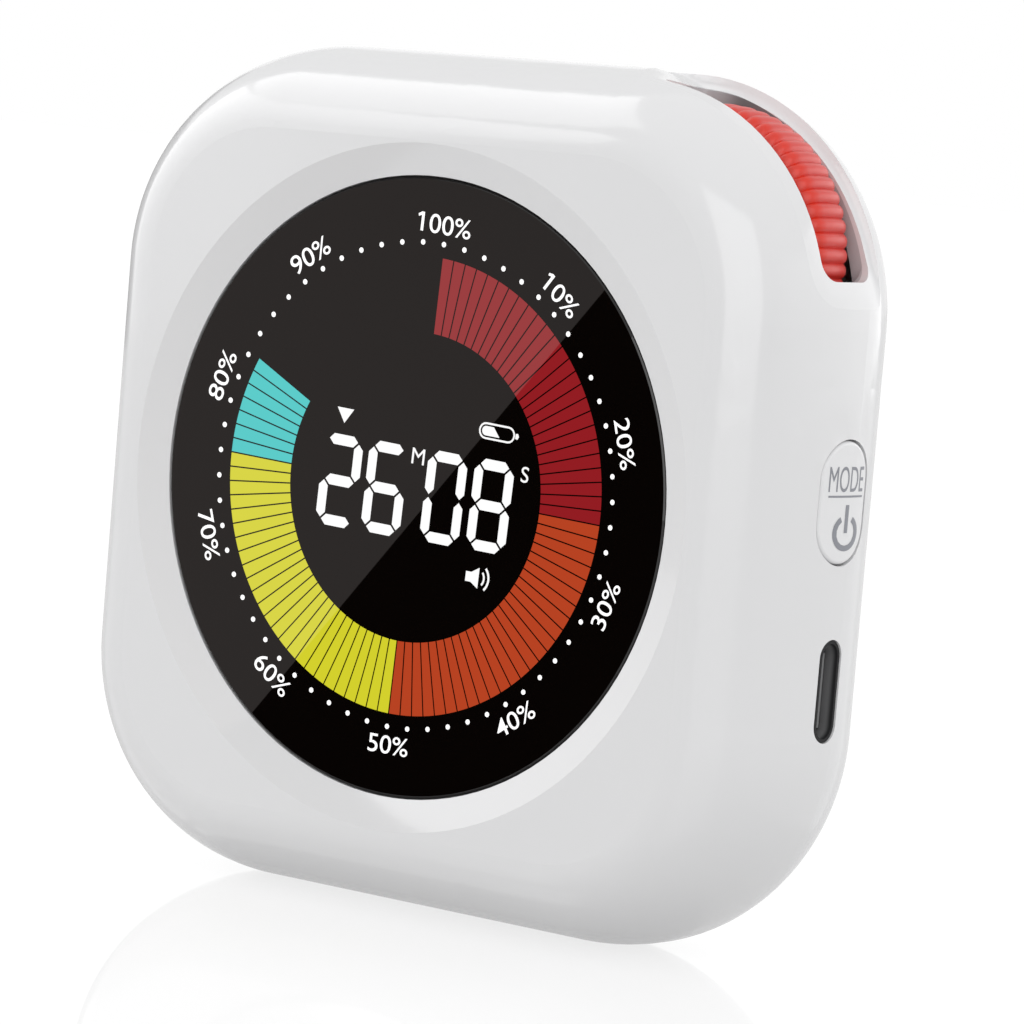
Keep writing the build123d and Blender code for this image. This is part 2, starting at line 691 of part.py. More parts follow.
# The ribbon runs down the diagonal from the encoder board's back to the main board's back
t = ribbon_thick
top, bend, foot, low = ribbon_stops
strip = outline((top, y_encoder_back), (bend, y_encoder_back), (foot, y_main_back), (low, y_main_back),
                (low, y_main_back + t), (foot - t, y_main_back + t), (bend - t, y_encoder_back + t),
                (top, y_encoder_back + t))
diagonal = Plane(origin=(0, 0, 0), x_dir=(1, 0, 1), z_dir=(-1, 0, 1))
node("encoder_ribbon", extrude(diagonal.offset(-ribbon_width / 2) * strip, amount=ribbon_width))

# ---------------------------------------------------------------- battery and speaker
bx, bz = battery_centre
bw, bt, bh = battery_size
y_cell = y_cover_inner - battery_tape_thick
cell = fillet(block(bx, bz, bw, bh, y_cell - bt, y_cell).edges(), battery_corner)
node("battery_cell", cell)
node("battery_tape", block(bx, bz, bw - 2 * battery_tape_inset, bh - 2 * battery_tape_inset,
                           y_cell, y_cover_inner))
px, pz = plug_centre
node("battery_plug", block(px, pz, plug_size[0], plug_size[2], y_main_back, y_main_back + plug_size[1]))


def lead(*points):
    """A thin insulated wire: straight runs between the given points, joined by arcs."""
    path = FilletPolyline(*points, radius=lead_bend)
    start = Plane(origin=path @ 0, z_dir=path % 0)
    return sweep(start * Circle(lead_radius), path=path)


y_plug = y_main_back + plug_size[1] / 2
y_tabs = y_cell - bt / 2
x_tabs, x_plug = bx + bw / 2 + lead_gap, px - plug_size[0] / 2 - lead_gap
node("battery_leads", *[lead((x_tabs, y_tabs, z), (x_tabs + 1.2, y_tabs, z), (x_plug - 1.2, y_plug, z),
                             (x_plug, y_plug, z)) for z in (pz - lead_pitch / 2, pz + lead_pitch / 2)])
y_speaker = y_cover_inner - speaker_thick
basket = disc(sx, sz, speaker_radius, y_cover_inner - 1.4, y_cover_inner)
basket += disc(sx, sz, speaker_radius - 2.0, y_speaker, y_cover_inner - 1.4)
basket -= disc(sx, sz, speaker_radius - 1.2, y_cover_inner - 0.8, y_cover_inner)
node("speaker", basket)
x_out, z_out, y_out = sx - lead_pitch / 2, sz - speaker_radius - lead_gap, y_cover_inner - 0.9
node("speaker_leads", *[lead((x, y_out, z_out), (x, y_out, z_out - speaker_lead_drop / 2),
                             (x, (y_out + y_main_back) / 2, z_out - speaker_lead_drop * 0.8),
                             (x, y_main_back + lead_gap, z_out - speaker_lead_drop))
                        for x in (x_out, x_out + lead_pitch)])
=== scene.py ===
import math

import bpy
import numpy as np
from mathutils import Matrix, Vector


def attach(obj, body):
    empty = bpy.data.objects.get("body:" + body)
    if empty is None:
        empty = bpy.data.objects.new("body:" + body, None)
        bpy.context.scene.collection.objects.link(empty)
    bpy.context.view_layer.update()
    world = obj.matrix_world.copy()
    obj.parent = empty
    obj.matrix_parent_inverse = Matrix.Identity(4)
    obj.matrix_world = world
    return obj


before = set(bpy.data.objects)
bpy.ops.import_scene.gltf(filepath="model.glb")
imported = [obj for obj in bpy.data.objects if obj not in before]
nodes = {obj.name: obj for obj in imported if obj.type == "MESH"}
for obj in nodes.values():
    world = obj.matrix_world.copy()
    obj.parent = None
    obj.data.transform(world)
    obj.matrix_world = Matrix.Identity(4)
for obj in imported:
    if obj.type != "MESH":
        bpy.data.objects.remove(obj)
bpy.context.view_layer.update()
MM = 0.001
MIDDLE = 39.8                 # height of the case's middle
Y_LENS = -11.73               # the front of the glass
PRINT_LIFT = 0.015            # print and light in front of it
REACH = 40.0                  # the middle to the right side
FRAME = 1024                  # side of the camera's picture, in pixels
MOTTLE_SCALE = 12             # the grain's noise to the broad mottling's
CLOUD_GRAIN = 160             # noise scale of lit pieces
LEAST_ROUGH = 0.02

# ------------------------------------------------------------------ colours and materials


def linear(r, g, b):
    """A screen colour, 0 to 255, as a scene colour."""
    out = []
    for v in (r, g, b):
        v /= 255
        out.append(v / 12.92 if v <= 0.04045 else ((v + 0.055) / 1.055) ** 2.4)
    return (*out, 1.0)


def started(name, bare=False):
    """A new material with its nodes and links; bare leaves only the output."""
    m = bpy.data.materials.new(name)
    m.use_nodes = True
    n, link = m.node_tree.nodes, m.node_tree.links
    if bare:
        n.remove(n["Principled BSDF"])
    return m, n, link


def tinted(n, link, cloud, colour, vary):
    """The colour, a share darker to a share paler as the noise says."""
    tone = n.new("ShaderNodeMix")
    tone.data_type = "RGBA"
    tone.inputs[6].default_value = tuple(c * (1 - vary) for c in colour[:3]) + (1,)
    tone.inputs[7].default_value = tuple(c * (1 + vary) for c in colour[:3]) + (1,)
    link.new(cloud.outputs["Fac"], tone.inputs[0])
    return tone.outputs[2]


def shade(name, colour, rough, vary=0.04, grain=900.0, bump=0.02, depth=0.00002, rough_vary=0.05,
          **sockets):
    """A moulded or painted surface: a little mottling in colour and gloss, and a fine skin."""
    m, n, link = started(name)
    b = n["Principled BSDF"]
    where = n.new("ShaderNodeTexCoord")
    broad = n.new("ShaderNodeTexNoise")
    broad.inputs["Scale"].default_value = grain / MOTTLE_SCALE
    broad.inputs["Detail"].default_value = 3
    fine = n.new("ShaderNodeTexNoise")
    fine.inputs["Scale"].default_value = grain
    fine.inputs["Detail"].default_value = 4
    for t in (broad, fine):
        link.new(where.outputs["Object"], t.inputs["Vector"])
    link.new(tinted(n, link, broad, colour, vary), b.inputs["Base Color"])
    gloss = n.new("ShaderNodeMapRange")
    gloss.inputs["To Min"].default_value = max(LEAST_ROUGH, rough - rough_vary)
    gloss.inputs["To Max"].default_value = rough + rough_vary
    link.new(broad.outputs["Fac"], gloss.inputs["Value"])
    link.new(gloss.outputs["Result"], b.inputs["Roughness"])
    skin = n.new("ShaderNodeBump")
    skin.inputs["Strength"].default_value = bump
    skin.inputs["Distance"].default_value = depth
    link.new(fine.outputs["Fac"], skin.inputs["Height"])
    link.new(skin.outputs["Normal"], b.inputs["Normal"])
    for key, value in sockets.items():
        b.inputs[key.replace("_", " ")].default_value = value
    return m


def glow(name, colour, strength=1.0, base=(0.0, 0.0, 0.0, 1.0), rough=0.03, vary=0.02, mirror=0.5):
    """Light from behind the glass, with the same gloss on top as the glass itself."""
    m, n, link = started(name)
    b = n["Principled BSDF"]
    where = n.new("ShaderNodeTexCoord")
    cloud = n.new("ShaderNodeTexNoise")
    cloud.inputs["Scale"].default_value = CLOUD_GRAIN
    link.new(where.outputs["Object"], cloud.inputs["Vector"])
    link.new(tinted(n, link, cloud, colour, vary), b.inputs["Emission Color"])
    b.inputs["Emission Strength"].default_value = strength
    b.inputs["Base Color"].default_value = base
    b.inputs["Roughness"].default_value = rough
    b.inputs["Specular IOR Level"].default_value = mirror
    return m


def ramp(m, value, start, end):
    """0 to 1 as the value, in metres, goes from start to end, in millimetres."""
    n, link = m.node_tree.nodes, m.node_tree.links
    r = n.new("ShaderNodeMapRange")
    r.interpolation_type = "SMOOTHSTEP"
    r.inputs["From Min"].default_value = start * MM
    r.inputs["From Max"].default_value = end * MM
    link.new(value, r.inputs["Value"])
    return r.outputs["Result"]


def place_in(m):
    """The three coordinates of a surface point in its piece's own frame."""
    n, link = m.node_tree.nodes, m.node_tree.links
    where, parts = n.new("ShaderNodeTexCoord"), n.new("ShaderNodeSeparateXYZ")
    link.new(where.outputs["Object"], parts.inputs[0])
    return parts.outputs


def sums(m, operation, a, b):
    """One step of arithmetic on two values, each a number or an output."""
    n, link = m.node_tree.nodes, m.node_tree.links
    step = n.new("ShaderNodeMath")
    step.operation = operation
    for socket, value in zip(step.inputs, (a, b)):
        if isinstance(value, (int, float)):
            socket.default_value = value
        else:
            link.new(value, socket)
    return step.outputs[0]


def zone(m, colour, share):
    """Gives part of a surface another colour."""
    n, link = m.node_tree.nodes, m.node_tree.links
    base = n["Principled BSDF"].inputs["Base Color"]
    before = base.links[0].from_socket
    mixed = n.new("ShaderNodeMix")
    mixed.data_type = "RGBA"
    mixed.inputs[7].default_value = colour
    link.new(share, mixed.inputs[0])
    link.new(before, mixed.inputs[6])
    link.new(mixed.outputs[2], base)


WHITE = shade("case_plastic", linear(222, 222, 223), 0.14, vary=0.006, rough_vary=0.02, bump=0.02,
              Coat_Weight=0.25, Coat_Roughness=0.05)

# Painted shade: the walls of the wheel's slot are painted darker, and the slot's upper tip darker
# still;
# the walls lie inside the scoop's floor, seen from the centre of the case's corner
CORNER_X, CORNER_Z, WALL_RADIUS = 18.25, 58.05, 20.4
SLOT_FRONT, SLOT_BACK = -5.0, 2.2
TIP_SHADE_UPWARDS, TIP_SHADE_SIDEWAYS = (73.5, 77), (20.5, 24)      # where the painted shade at the slot's upper tip is darkest
FLANK = (-2.6, -3.5)                                    # the wheel's front flank, along the depth
PORT_RIM_SHADE, PORT_DEEP_SHADE = (39.1, 39.7), (38.7, 38.3)        # painted shade on the port's metal, from the middle outwards
x, y, z = place_in(WHITE)
dx, dz = sums(WHITE, "SUBTRACT", x, CORNER_X * MM), sums(WHITE, "SUBTRACT", z, CORNER_Z * MM)
square = sums(WHITE, "ADD", sums(WHITE, "MULTIPLY", dx, dx), sums(WHITE, "MULTIPLY", dz, dz))
inside = sums(WHITE, "LESS_THAN", sums(WHITE, "SQRT", square, 0), WALL_RADIUS * MM)
behind = sums(WHITE, "GREATER_THAN", y, SLOT_FRONT * MM)
before = sums(WHITE, "LESS_THAN", y, SLOT_BACK * MM)
slot_shade = sums(WHITE, "MULTIPLY", inside, sums(WHITE, "MULTIPLY", behind, before))
# painted shade on the slot's walls, and deeper painted shade at its upper tip
zone(WHITE, linear(182, 184, 186), slot_shade)
tip_shade = sums(WHITE, "MULTIPLY", ramp(WHITE, z, *TIP_SHADE_UPWARDS), ramp(WHITE, x, *TIP_SHADE_SIDEWAYS))
zone(WHITE, linear(112, 113, 114), sums(WHITE, "MULTIPLY", slot_shade, tip_shade))
COVER = shade("cover_plastic", linear(221, 221, 222), 0.24, vary=0.008, rough_vary=0.03, bump=0.04,
              Coat_Weight=0.2, Coat_Roughness=0.08)
GLASS = shade("black_glass", linear(5, 2, 1), 0.03, vary=0.1, rough_vary=0.005, bump=0.0)
RED = shade("wheel_plastic", linear(207, 48, 38), 0.34, vary=0.03, rough_vary=0.05, bump=0.05,
            Coat_Weight=0.1, Coat_Roughness=0.2)
zone(RED, linear(214, 40, 14), ramp(RED, place_in(RED)["Y"], *FLANK))
BUTTON = shade("button_plastic", linear(224, 224, 225), 0.26, vary=0.006, rough_vary=0.02, bump=0.04,
               Coat_Weight=0.15)
INK = shade("grey_print", linear(130, 132, 139), 0.4, vary=0.03, rough_vary=0.05, bump=0.02)
METAL = shade("port_steel", linear(124, 124, 125), 0.6, vary=0.05, bump=0.06,
              Specular_IOR_Level=0.1)
# painted shade: the port's metal darker towards its rim, and near black deep inside
zone(METAL, linear(42, 42, 43), ramp(METAL, place_in(METAL)["X"], *PORT_RIM_SHADE))
zone(METAL, linear(20, 20, 20), ramp(METAL, place_in(METAL)["X"], *PORT_DEEP_SHADE))
TONGUE = shade("port_resin", linear(110, 110, 111), 0.5, vary=0.05, bump=0.08)
DARK = shade("black_resin", linear(38, 38, 39), 0.45, vary=0.08, bump=0.08)
STEEL = shade("screw_steel", linear(190, 190, 192), 0.3, vary=0.05, Metallic=1.0, bump=0.05)
TAPE = shade("foam_tape", linear(34, 34, 34), 0.8, vary=0.15, bump=0.3)
FILM = shade("frosted_film", linear(232, 232, 228), 0.6, vary=0.02, bump=0.1)
BOXED = shade("light_box", linear(228, 228, 226), 0.55, vary=0.03, bump=0.1)
BOARD = shade("board_mask", linear(24, 92, 52), 0.32, vary=0.12, bump=0.08, Coat_Weight=0.4)
LEDS = shade("led_resin", linear(244, 240, 214), 0.2, vary=0.04, bump=0.03)
CHIP = shade("chip_epoxy", linear(36, 36, 38), 0.55, vary=0.1, bump=0.2)
NYLON = shade("connector_nylon", linear(236, 230, 214), 0.45, vary=0.03, bump=0.08)
FOIL = shade("pouch_foil", linear(180, 180, 184), 0.38, vary=0.06, bump=0.4, depth=0.00006,
             Metallic=0.7)
RIBBON = shade("flat_cable", linear(226, 226, 222), 0.35, vary=0.03, bump=0.05)
JACKET = shade("lead_jacket", linear(186, 40, 34), 0.42, vary=0.05, bump=0.05)
ALLOY = shade("shaft_alloy", linear(206, 206, 208), 0.28, vary=0.05, Metallic=1.0, bump=0.04)

looks = {
    "front_housing": WHITE, "rear_cover": COVER, "cover_screws": STEEL, "display_lens": GLASS,
    "lens_adhesive": TAPE, "diffuser_film": FILM, "display_reflector": BOXED, "display_board": BOARD,
    "ring_leds": LEDS, "digit_leds": LEDS, "icon_leds": LEDS, "main_board": BOARD,
    "board_header": NYLON, "controller_chip": CHIP, "charger_chip": CHIP, "board_screws": STEEL,
    "usb_shell": METAL, "usb_tongue": TONGUE, "mode_button": BUTTON, "switch_body": DARK,
    "switch_plunger": DARK, "thumb_wheel": RED, "encoder_shaft": ALLOY, "encoder_body": BOARD,
    "encoder_board": BOARD, "encoder_ribbon": RIBBON, "battery_cell": FOIL, "battery_tape": TAPE,
    "battery_plug": NYLON, "battery_leads": JACKET, "speaker": DARK, "speaker_leads": JACKET,
}
for name, look in looks.items():
    nodes[name].data.materials.clear()
    nodes[name].data.materials.append(look)

# ------------------------------------------------------------------ flat graphics


def on_lens(u, v):
    """A point just in front of the glass, u to the right and v up from the lens's middle."""
    return (u, Y_LENS - PRINT_LIFT, MIDDLE + v)


def piece(name, polygons, material, body="case", place=on_lens):
    """One mesh of flat polygons given in millimetres; place turns a 2-D point into a 3-D one."""
    mesh = bpy.data.meshes.new(name)
    verts, faces = [], []
    for p in polygons:
        faces.append(range(len(verts), len(verts) + len(p)))
        verts += [tuple(c * MM for c in place(u, v)) for u, v in p]
    mesh.from_pydata(verts, [], [list(f) for f in faces])
    mesh.materials.append(material)
    o = bpy.data.objects.new(name, mesh)
    bpy.context.scene.collection.objects.link(o)
    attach(o, body)
    return o


def lettering(text, height, bold=0.0):
    """Triangles of a line of text, centred on the origin, with the given capital height."""
    curve = bpy.data.curves.new("t", "FONT")
    curve.body = text
    curve.size = 10
    curve.offset = bold
    curve.resolution_u = 6
    o = bpy.data.objects.new("t", curve)
    bpy.context.scene.collection.objects.link(o)
    mesh = bpy.data.meshes.new_from_object(o.evaluated_get(bpy.context.evaluated_depsgraph_get()))
    mesh.calc_loop_triangles()
    pts = np.array([v.co[:2] for v in mesh.vertices])
    tris = [list(t.vertices) for t in mesh.loop_triangles]
    bpy.data.objects.remove(o)
    bpy.data.meshes.remove(mesh)
    lo, hi = pts.min(0), pts.max(0)
    pts = (pts - (lo + hi) / 2) * (height / (hi[1] - lo[1]))
    return [[tuple(pts[i]) for i in t] for t in tris]


def turned(polygons, x, z, angle=0.0, sx=1.0, sz=1.0):
    """Polygons stretched, turned by angle degrees and set at x, z."""
    c, s = math.cos(math.radians(angle)), math.sin(math.radians(angle))
    return [[(x + c * u * sx - s * v * sz, z + s * u * sx + c * v * sz) for u, v in p]
            for p in polygons]


def arc_points(cx, cz, radius, a0, a1, n):
    """Points of an arc, angles in degrees from +X up."""
    angles = [math.radians(a0 + (a1 - a0) * i / n) for i in range(n + 1)]
    return [(cx + radius * math.cos(a), cz + radius * math.sin(a)) for a in angles]


def arc(cx, cz, r0, r1, a0, a1, n=8):
    """A ring sector."""
    return arc_points(cx, cz, r0, a0, a1, n) + arc_points(cx, cz, r1, a1, a0, n)


def strips(polygon_in, polygon_out):
    """Quads between two closed outlines with as many points each."""
    n = len(polygon_in)
    return [[polygon_in[i], polygon_out[i], polygon_out[(i + 1) % n], polygon_in[(i + 1) % n]]
            for i in range(n)]


# The artwork is drawn about its own centre and then set on the glass: turned, stretched and shifted
ART_TURN = math.radians(2.52)          # clockwise
ART_STRETCH = (1.007, 0.993)
ART_SHIFT = (0.853, 0.038)
ART_KEYSTONE = (0.0013, -0.0003)


def on_art(u, v):
    """The place on the glass of a point of the artwork, both in millimetres from their middles."""
    a, b = u * ART_STRETCH[0], v * ART_STRETCH[1]
    c, s = math.cos(ART_TURN), math.sin(ART_TURN)
    w = 1 + ART_KEYSTONE[0] * u + ART_KEYSTONE[1] * v
    return on_lens((a * c + b * s + ART_SHIFT[0]) / w, (b * c - a * s + ART_SHIFT[1]) / w)


RING_IN, RING_OUT = 14.3, 21.2
CELLS = 100
CELL_LINE = 0.13                       # the dark line between two cells
CELL_ARCS = 4                          # straight runs of a cell's arcs
COLOURS = (("red", 0, 25, linear(146, 27, 33)), ("orange", 25, 50, linear(183, 66, 33)),
           ("yellow", 50, 75, linear(211, 208, 44)), ("teal", 75, 82, linear(72, 198, 196)))


def ring_cell(number):
    """One cell of the ring, counted clockwise from the top."""
    start, step = 90 - 360 / CELLS * number, -360 / CELLS
    points = []
    for radius, way in ((RING_IN, 1), (RING_OUT, -1)):
        trim = math.degrees(CELL_LINE / 2 / radius)
        points += arc_points(0, 0, radius, start - trim, start + step + trim, CELL_ARCS)[::way]
    return points


for name, first, last, colour in COLOURS:
    piece("ring_" + name, [ring_cell(i) for i in range(first, last)],
          glow("glow_" + name, colour, mirror=0.9), place=on_art)

PRINT = glow("white_print", linear(236, 236, 236), 0.75, base=linear(200, 200, 200), rough=0.15)
LIT = glow("white_light", linear(255, 255, 255), 1.0)

DOTS, DOT_RING, DOT_RADIUS, DOT_CORNERS = 60, 22.45, 0.25, 16
dots = []
for i in range(DOTS):
    a = math.radians(360 / DOTS * i)
    dots.append(arc_points(DOT_RING * math.sin(a), DOT_RING * math.cos(a), DOT_RADIUS,
                           0, 360 - 360 / DOT_CORNERS, DOT_CORNERS - 1))
piece("minute_dots", dots, PRINT, place=on_art)

LABEL_RING, LABEL_HEIGHT, LABEL_SPREAD, LABEL_BOLD = 24.17, 1.75, 1.16, 0.03
# The labels stand a little before their marks, most of all on the left
LABEL_LAG, LABEL_WAVE, WAVE_START = 1.2, 0.5, 130
LABELS = 10
# The flag of a 1, from the bar's left side and the line's middle, in shares of the height
FLAG = ((0.02, 0.5), (0.02, 0.32), (-0.17, 0.23), (-0.20, 0.36))


def percent(number):
    """The lettering of one label; the font's 1 is a plain bar and gets its flag here."""
    polygons = lettering(f"{number}%", LABEL_HEIGHT, LABEL_BOLD)
    if str(number)[0] == "1":
        left = min(u for p in polygons for u, v in p)
        polygons.append([(left + u * LABEL_HEIGHT, v * LABEL_HEIGHT) for u, v in FLAG])
    return polygons


labels = []
for i in range(1, LABELS + 1):
    a = 360 / LABELS * i
    if i < LABELS:
        a -= LABEL_LAG - LABEL_WAVE * math.cos(math.radians(a - WAVE_START))
    spin = 180 - a if 90 < a < 270 else -a
    x, z = LABEL_RING * math.sin(math.radians(a)), LABEL_RING * math.cos(math.radians(a))
    labels += turned(percent(100 // LABELS * i), x, z, spin, sx=LABEL_SPREAD)
piece("percent_labels", labels, PRINT, place=on_art)

# Seven-segment digits
WIDE, TALL, STROKE, GAP = 4.52, 8.53, 1.0, 0.2
SEGMENTS = {"2": "abged", "6": "afgedc", "0": "abcdef", "8": "abcdefg"}
PLACES = (("2", -8.64, -0.67), ("6", -3.42, -0.55), ("0", 3.35, -0.38), ("8", 8.69, -0.25))


def segment(name):
    """One bar with pointed ends, about the middle of its digit."""
    w, h, s = WIDE - STROKE, TALL - STROKE, STROKE / 2
    spots = {"a": (0, h / 2, 0), "g": (0, 0, 0), "d": (0, -h / 2, 0), "b": (w / 2, h / 4, 1),
             "c": (w / 2, -h / 4, 1), "e": (-w / 2, -h / 4, 1), "f": (-w / 2, h / 4, 1)}
    x, z, upright = spots[name]
    half = (h / 2 if upright else w) / 2 - GAP / math.sqrt(2)
    p = [(-half, 0), (s - half, s), (half - s, s), (half, 0), (half - s, -s), (s - half, -s)]
    if upright:
        p = [(v, u) for u, v in p]
    return [(x + u, z + v) for u, v in p]


digits = []
for char, x, z in PLACES:
    digits += turned([segment(c) for c in SEGMENTS[char]], x, z)
piece("time_digits", digits, LIT, place=on_art)


def pill(w, h, n=8):
    """A bar with round ends."""
    r = h / 2
    return arc_points(w / 2 - r, 0, r, -90, 90, n) + arc_points(r - w / 2, 0, r, 90, 270, n)


# The icons: a small triangle, the unit letters, a half-full battery and a speaker
MARKER = [(-9.78, 6.05), (-7.88, 6.05), (-8.83, 4.67)]
UNIT_HEIGHT, UNIT_SPREAD, S_BOLD = 1.47, 1.05, 0.03
M_PLACE, S_PLACE = (-0.06, 2.98), (12.16, 3.25)
BATTERY_PLACE, SPEAKER_PLACE, ICON_SIZE = (8.45, 6.55), (8.36, -7.03), 1.03
BATTERY_IN, BATTERY_OUT, CHARGE = (3.65, 1.15), (4.0, 1.5), (3.3, 0.85)
BATTERY_CAP = [(2.05, 0.22), (2.3, 0.27), (2.45, 0.0), (2.3, -0.27), (2.05, -0.22)]
CHARGE_ROUND, CHARGE_SLANT = -0.6, [(0.33, -0.42), (-0.4, 0.42)]
HORN = [(-1.45, 0.45), (-0.85, 0.45), (0.0, 0.95), (0.0, -0.95), (-0.85, -0.45), (-1.45, -0.45)]
WAVE_CENTRE = -0.25
SOUND_WAVES = ((0.75, 0.95, 42), (1.25, 1.47, 46))      # inner and outer radius, degrees each way

icons = [MARKER]
icons += turned(lettering("M", UNIT_HEIGHT), *M_PLACE, sx=UNIT_SPREAD)
icons += turned(lettering("S", UNIT_HEIGHT, S_BOLD), *S_PLACE, sx=UNIT_SPREAD)
battery = strips(pill(*BATTERY_IN), pill(*BATTERY_OUT)) + [BATTERY_CAP]
battery += [[(u, v) for u, v in pill(*CHARGE) if u < CHARGE_ROUND] + CHARGE_SLANT]
icons += turned(battery, *BATTERY_PLACE, sx=ICON_SIZE, sz=ICON_SIZE)
speaker = [HORN] + [arc(WAVE_CENTRE, 0, r0, r1, -a, a) for r0, r1, a in SOUND_WAVES]
icons += turned(speaker, *SPEAKER_PLACE, sx=ICON_SIZE, sz=ICON_SIZE)
piece("icon_lights", icons, LIT, place=on_art)

# ------------------------------------------------------------------ print on the button

WIDEST = 0.66                 # depth of the case's widest section
# The side's roundings in front of it and behind it: inwards, and along the depth
FRONT_ROUND, REAR_ROUND = (8.3, 13.66), (14.4, 12.34)
BUTTON_Y, BUTTON_LIFT = -0.6, 3.1


def on_side(u, v):
    """A point of the right side, u to the back and v up from the button's middle."""
    y = BUTTON_Y + u
    side, depth = FRONT_ROUND if y < WIDEST else REAR_ROUND
    t = (y - WIDEST) / depth
    return (REACH - side * (1 - math.sqrt(1 - t * t)) + PRINT_LIFT, y, MIDDLE + BUTTON_LIFT + v)


def finer(polygons, most=0.5):
    """Splits triangles until they are small enough to follow the curved side."""
    out = []
    todo = [[q[0], q[i], q[i + 1]] for q in polygons for i in range(1, len(q) - 1)]
    while todo:
        p = todo.pop()
        sides = [math.dist(p[i], p[(i + 1) % 3]) for i in range(3)]
        k = sides.index(max(sides))
        if sides[k] <= most:
            out.append(p)
            continue
        a, b, c = p[k], p[(k + 1) % 3], p[(k + 2) % 3]
        m = ((a[0] + b[0]) / 2, (a[1] + b[1]) / 2)
        todo += [[a, m, c], [m, b, c]]
    return out


MODE_WIDTH, MODE_HEIGHT, MODE_PLACE = 5.3, 2.27, (0.12, 2.1)
RULE = [(-2.46, 0.66), (2.81, 0.66), (2.81, 0.48), (-2.46, 0.48)]
POWER_IN, POWER_OUT, POWER_PLACE, POWER_STRETCH = 1.25, 1.8, (0.43, -2.67), (1.08, 0.91)
POWER_START, POWER_SPAN, POWER_PARTS = 120, 300, 12
POWER_BAR = [(0.15, -0.18), (0.67, -0.18), (0.67, -2.68), (0.15, -2.68)]

mark = lettering("MODE", MODE_HEIGHT)
wide = max(u for p in mark for u, v in p) - min(u for p in mark for u, v in p)
mark = turned(mark, *MODE_PLACE, sx=MODE_WIDTH / wide) + [RULE]
cuts = [POWER_START + POWER_SPAN * i / POWER_PARTS for i in range(POWER_PARTS + 1)]
power = [arc(0, 0, POWER_IN, POWER_OUT, a0, a1, 2) for a0, a1 in zip(cuts, cuts[1:])]
power = turned(power, *POWER_PLACE, sx=POWER_STRETCH[0], sz=POWER_STRETCH[1]) + [POWER_BAR]
piece("button_print", finer(mark + power), INK, body="button", place=on_side)

# ------------------------------------------------------------------ camera
yaw, elevation, roll = map(math.radians, (35.758, 4.910, 4.823))
FOCAL, SCALE = 4489.8, 10.682           # pixels, and pixels per millimetre at the middle
U0, V0 = 483.79, 485.92                 # the middle's pixel
SENSOR = 36
back = np.array([math.sin(yaw) * math.cos(elevation), -math.cos(yaw) * math.cos(elevation),
                 math.sin(elevation)])
level = np.array([math.cos(yaw), math.sin(yaw), 0.0])
upright = np.cross(back, level)
right = math.cos(roll) * level + math.sin(roll) * upright
up = -math.sin(roll) * level + math.cos(roll) * upright
distance = FOCAL / SCALE
eye = np.linalg.solve(np.stack([right, up, back]),
                      [-(U0 - FRAME / 2) / SCALE, (V0 - FRAME / 2) / SCALE, distance])
eye += (0, 0, MIDDLE)
lens = bpy.data.cameras.new("camera")
lens.sensor_width = SENSOR
lens.lens = SENSOR * FOCAL / FRAME
lens.clip_start, lens.clip_end = 0.01, 20
camera = bpy.data.objects.new("camera", lens)
camera.matrix_world = Matrix([[right[i], up[i], back[i], eye[i] * MM] for i in range(3)]
                             + [[0, 0, 0, 1]])
bpy.context.scene.collection.objects.link(camera)
bpy.context.scene.camera = camera

# ------------------------------------------------------------------ studio


def staged(name, points, material, only_glossy=True):
    """A flat polygon of the studio, seen only in reflections unless it is the floor."""
    mesh = bpy.data.meshes.new(name)
    mesh.from_pydata([tuple(p * MM) for p in points], [], [list(range(len(points)))])
    mesh.materials.append(material)
    o = bpy.data.objects.new(name, mesh)
    bpy.context.scene.collection.objects.link(o)
    if only_glossy:
        o.visible_camera = o.visible_diffuse = o.visible_shadow = o.visible_transmission = False


def sheet(name, centre, across, upward, width, height, material, only_glossy=True):
    """A rectangle about its centre, across and upward as the two directions say."""
    c, a, b = (np.array(v, float) for v in (centre, across, upward))
    a, b = a / np.linalg.norm(a) * width / 2, b / np.linalg.norm(b) * height / 2
    points = [c + i * a + j * b for i, j in ((-1, -1), (1, -1), (1, 1), (-1, 1))]
    staged(name, points, material, only_glossy)


def seen_by(n, link, rays):
    """1 to the kinds of ray named and 0 to all others."""
    path = n.new("ShaderNodeLightPath")
    last = path.outputs[rays[0]]
    for ray in rays[1:]:
        either = n.new("ShaderNodeMath")
        either.operation = "MAXIMUM"
        link.new(last, either.inputs[0])
        link.new(path.outputs[ray], either.inputs[1])
        last = either.outputs[0]
    return last


def between(n, link, share, low, high):
    """A value from low to high as the share goes from 0 to 1; low may be another node's output."""
    r = n.new("ShaderNodeMapRange")
    if isinstance(low, (int, float)):
        r.inputs["To Min"].default_value = low
    else:
        link.new(low, r.inputs["To Min"])
    r.inputs["To Max"].default_value = high
    link.new(share, r.inputs["Value"])
    return r.outputs["Result"]


FLOOR_MATT = 0.2
FLOOR_LIFT, FLOOR_GLOSS, FLOOR_BOUNCE = 0.94, 0.65, 0.40    # to the camera, the gloss and the rest
FLOOR_MIRROR, FLOOR_ROUGH = 0.26, 0.03
FLOOR_DROP, FLOOR_SIDE = 0.05, 12000


